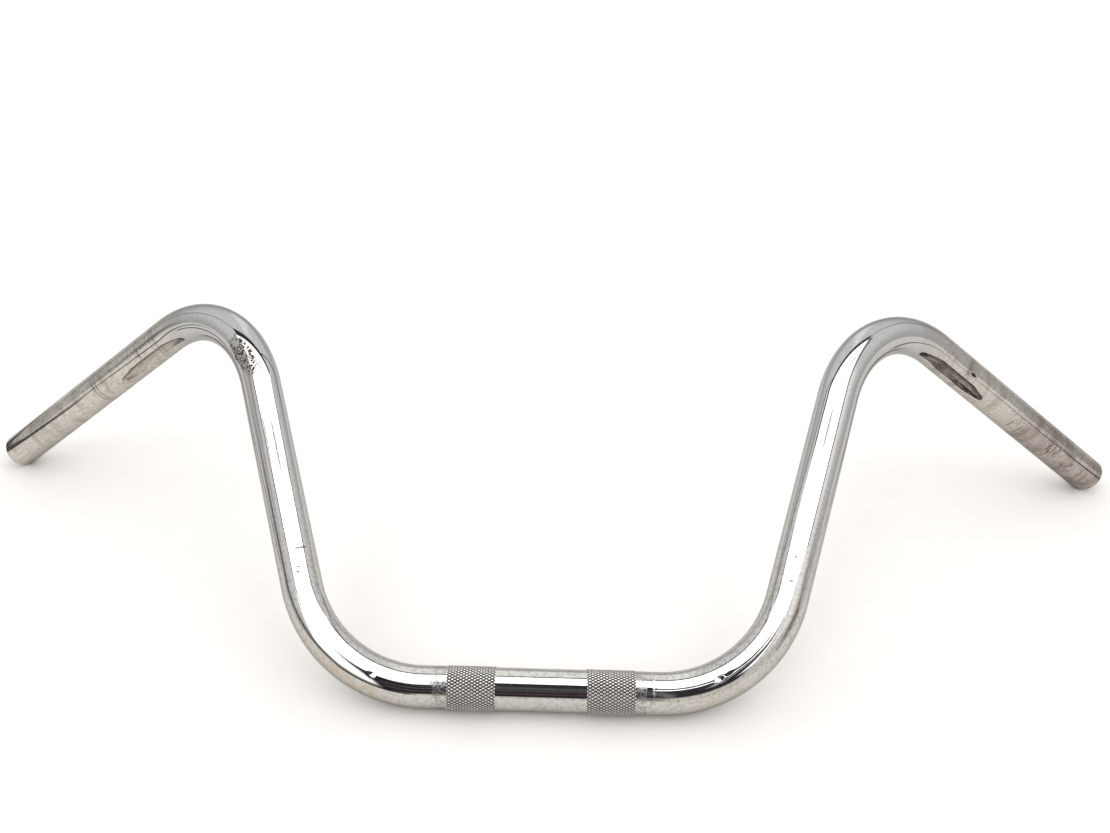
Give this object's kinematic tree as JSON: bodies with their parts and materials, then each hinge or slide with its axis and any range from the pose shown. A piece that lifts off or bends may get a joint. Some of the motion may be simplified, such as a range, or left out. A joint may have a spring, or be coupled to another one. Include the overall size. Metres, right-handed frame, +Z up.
{
  "type": "motorcycle handlebar",
  "caption": "Motorcycle handlebar of bent chrome-plated steel tube with open ends, knurled clamp bands, splayed risers, swept-back grips and pressed wiring dimples.",
  "frame": {"origin": "under the middle of the box of the bar, on the surface that it lies on with its clamp stretch and both tube ends touching", "axes": "+X across the bar, to the rider's left; +Y from the clamp stretch towards the grips; +Z up from the surface that the bar lies on"},
  "size_m": [0.8318, 0.2656, 0.1632],
  "materials": {
    "chrome_plate": "mirror chrome plate with fine scratches and light pitting",
    "knurled_chrome": "diamond-knurled chrome, worn and dirty in the grooves",
    "tarnished_chrome": "dulled, smudged chrome where grips and controls sat"
  },
  "bodies": {
    "root": {"clamp_middle": "chrome_plate", "knurled_clamp_band_left": "knurled_chrome", "knurled_clamp_band_right": "knurled_chrome", "clamp_shoulder_left": "chrome_plate", "clamp_shoulder_right": "chrome_plate", "lower_bend_left": "chrome_plate", "lower_bend_right": "chrome_plate", "riser_left": "chrome_plate", "riser_right": "chrome_plate", "upper_bend_left": "chrome_plate", "upper_bend_right": "chrome_plate", "control_section_left": "tarnished_chrome", "control_section_right": "tarnished_chrome", "grip_section_left": "tarnished_chrome", "grip_section_right": "tarnished_chrome", "open_end_left": "tarnished_chrome", "open_end_right": "tarnished_chrome"}
  },
  "joints": []
}
